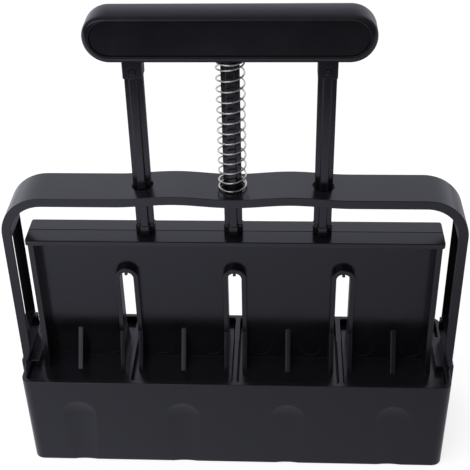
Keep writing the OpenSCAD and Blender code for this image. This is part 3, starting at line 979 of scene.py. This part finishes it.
def shaded_floor():
    material = bpy.data.materials.new("pale_floor")
    material.use_nodes = True
    tree = material.node_tree
    tree.nodes.remove(tree.nodes["Principled BSDF"])
    end = tree.nodes["Material Output"]
    path = add(tree, "ShaderNodeLightPath").outputs
    place = add(tree, "ShaderNodeNewGeometry")
    spot = add(tree, "ShaderNodeSeparateXYZ", {0: place.outputs["Position"]}).outputs
    # For mirror rays the floor's glow holds painted shade close to the tool, a painted shadow behind its
    # middle, and a painted falloff from left to right.
    front = ramp(tree, spot["Y"], -0.46, -0.285, 0.10, 1.30)
    painted_shade_near = ramp(tree, spot["Y"], -0.26, -0.11, 1.0, 0.62)
    painted_falloff_across = ramp(tree, spot["X"], -0.12, 0.12, 0.92, 0.59, "LINEAR")
    shaded = ramp(tree, maths(tree, "ABSOLUTE", spot["X"]), 0.12, 0.26, 0.28, 1.0)
    painted_shadow_behind = ramp(tree, spot["Y"], 0.0, 0.07, 1.0, shaded)
    depth = maths(tree, "MULTIPLY", front, painted_shade_near)
    both_ways = maths(tree, "MULTIPLY", depth, painted_shadow_behind)
    painted_floor_light = maths(tree, "MULTIPLY", both_ways, painted_falloff_across)
    mirrored = maths(tree, "MULTIPLY", painted_floor_light, path["Is Glossy Ray"])
    seen = maths(tree, "MAXIMUM", path["Is Camera Ray"], path["Is Transmission Ray"])
    glow = maths(tree, "MULTIPLY_ADD", seen, FLOOR_SEEN, mirrored)
    tint = tint_mirror(tree, path["Is Glossy Ray"])
    light = add(tree, "ShaderNodeEmission", {"Color": tint, "Strength": glow})
    paper = add(tree, "ShaderNodeBsdfDiffuse", {"Color": (0.42, 0.42, 0.42, 1)})
    black = add(tree, "ShaderNodeBsdfDiffuse", {"Color": (0, 0, 0, 1)})
    lit = add(tree, "ShaderNodeMixShader", {0: path["Is Glossy Ray"], 1: paper.outputs[0],
                                            2: black.outputs[0]})
    both = add(tree, "ShaderNodeAddShader", {0: lit.outputs[0], 1: light.outputs[0]})
    tree.links.new(both.outputs[0], end.inputs["Surface"])
    return material


reach = 3000
corners = [(-reach, -reach, 0), (reach, -reach, 0), (reach, reach, 0), (-reach, reach, 0)]
floor = mesh_object("studio_floor", corners, [(0, 1, 2, 3)])
floor.data.materials.append(shaded_floor())
print("floor", floor.name)

# %% [markdown]
# The surround is plain white to the eye. In the plastic's mirror it is a room: bright behind the tool
# and at its sides, dim overhead and towards the viewer, but for a soft window over the viewer's left
# shoulder, which lights the slanted ends of the ribs. A world's Generated coordinate is the direction
# looked in, so its Y gives front and back, and its X gives left and right.

# %% Studio: surround
world = bpy.data.worlds.new("white_surround")
bpy.context.scene.world = world
world.use_nodes = True
sky = world.node_tree
background = sky.nodes["Background"]
path = add(sky, "ShaderNodeLightPath").outputs
looked = add(sky, "ShaderNodeTexCoord")
way = add(sky, "ShaderNodeSeparateXYZ", {0: looked.outputs["Generated"]}).outputs
back = ramp(sky, way["Y"], 0.05, 0.84, 0.12, 1.0)
fall = ramp(sky, way["X"], -0.25, 0.25, 1.0, 0.86, "LINEAR")
low_sky = ramp(sky, way["Z"], 0.34, 0.54, 0.78, 1.0)
sides = ramp(sky, maths(sky, "ABSOLUTE", way["X"]), 0.3, 0.9, 1.0, 1.6)
window_x = ramp(sky, way["X"], 0.08, -0.28, 0.0, 1.50)
window_y = ramp(sky, way["Y"], -0.35, -0.65, 0.0, 1.0)
window_z = ramp(sky, way["Z"], 0.05, 0.30, 0.0, 1.0)
window_light = maths(sky, "MULTIPLY", maths(sky, "MULTIPLY", window_x, window_y), window_z)
room = maths(sky, "MULTIPLY", back, maths(sky, "MULTIPLY", fall, low_sky))
mirrored_room = maths(sky, "MULTIPLY_ADD", room, sides, window_light)
direct = maths(sky, "MAXIMUM", path["Is Camera Ray"], path["Is Transmission Ray"])
soft = ramp(sky, direct, 0.0, 1.0, 0.50, 1.0, "LINEAR")
strength = add(sky, "ShaderNodeMix", {"Factor": path["Is Glossy Ray"]}, data_type="FLOAT")
sky.links.new(soft, strength.inputs[2])
sky.links.new(mirrored_room, strength.inputs[3])
sky.links.new(strength.outputs[0], background.inputs["Strength"])
sky.links.new(tint_mirror(sky, path["Is Glossy Ray"]), background.inputs["Color"])
print("surround", world.name)

# %% [markdown]
# One large soft lamp hangs above, in front and to the left. It gives the soft shade under the tool. It
# is kept out of the plastic's mirror, where it would draw a bright line along the grip's rim.

# %% Studio: lamp
lamp_data = bpy.data.lights.new("top_softbox", "AREA")
lamp_data.shape = "RECTANGLE"
lamp_data.size, lamp_data.size_y = 0.9, 0.6
lamp_data.energy = 6
lamp = bpy.data.objects.new("top_softbox", lamp_data)
lamp.visible_glossy = False
lamp_place, lamp_aim = Vector((-0.25, -0.25, 1.1)), Vector((0, 0, 0.1))
lamp.matrix_world = Matrix.Translation(lamp_place)
lamp.rotation_mode = "QUATERNION"
lamp.rotation_quaternion = (lamp_place - lamp_aim).to_track_quat("Z", "Y")
bpy.context.scene.collection.objects.link(lamp)
print("lamp", lamp_data.energy, "W")

# %% [markdown]
# Standard view transform keeps colours as written.

# %% Finish
bpy.context.scene.view_settings.view_transform = "Standard"
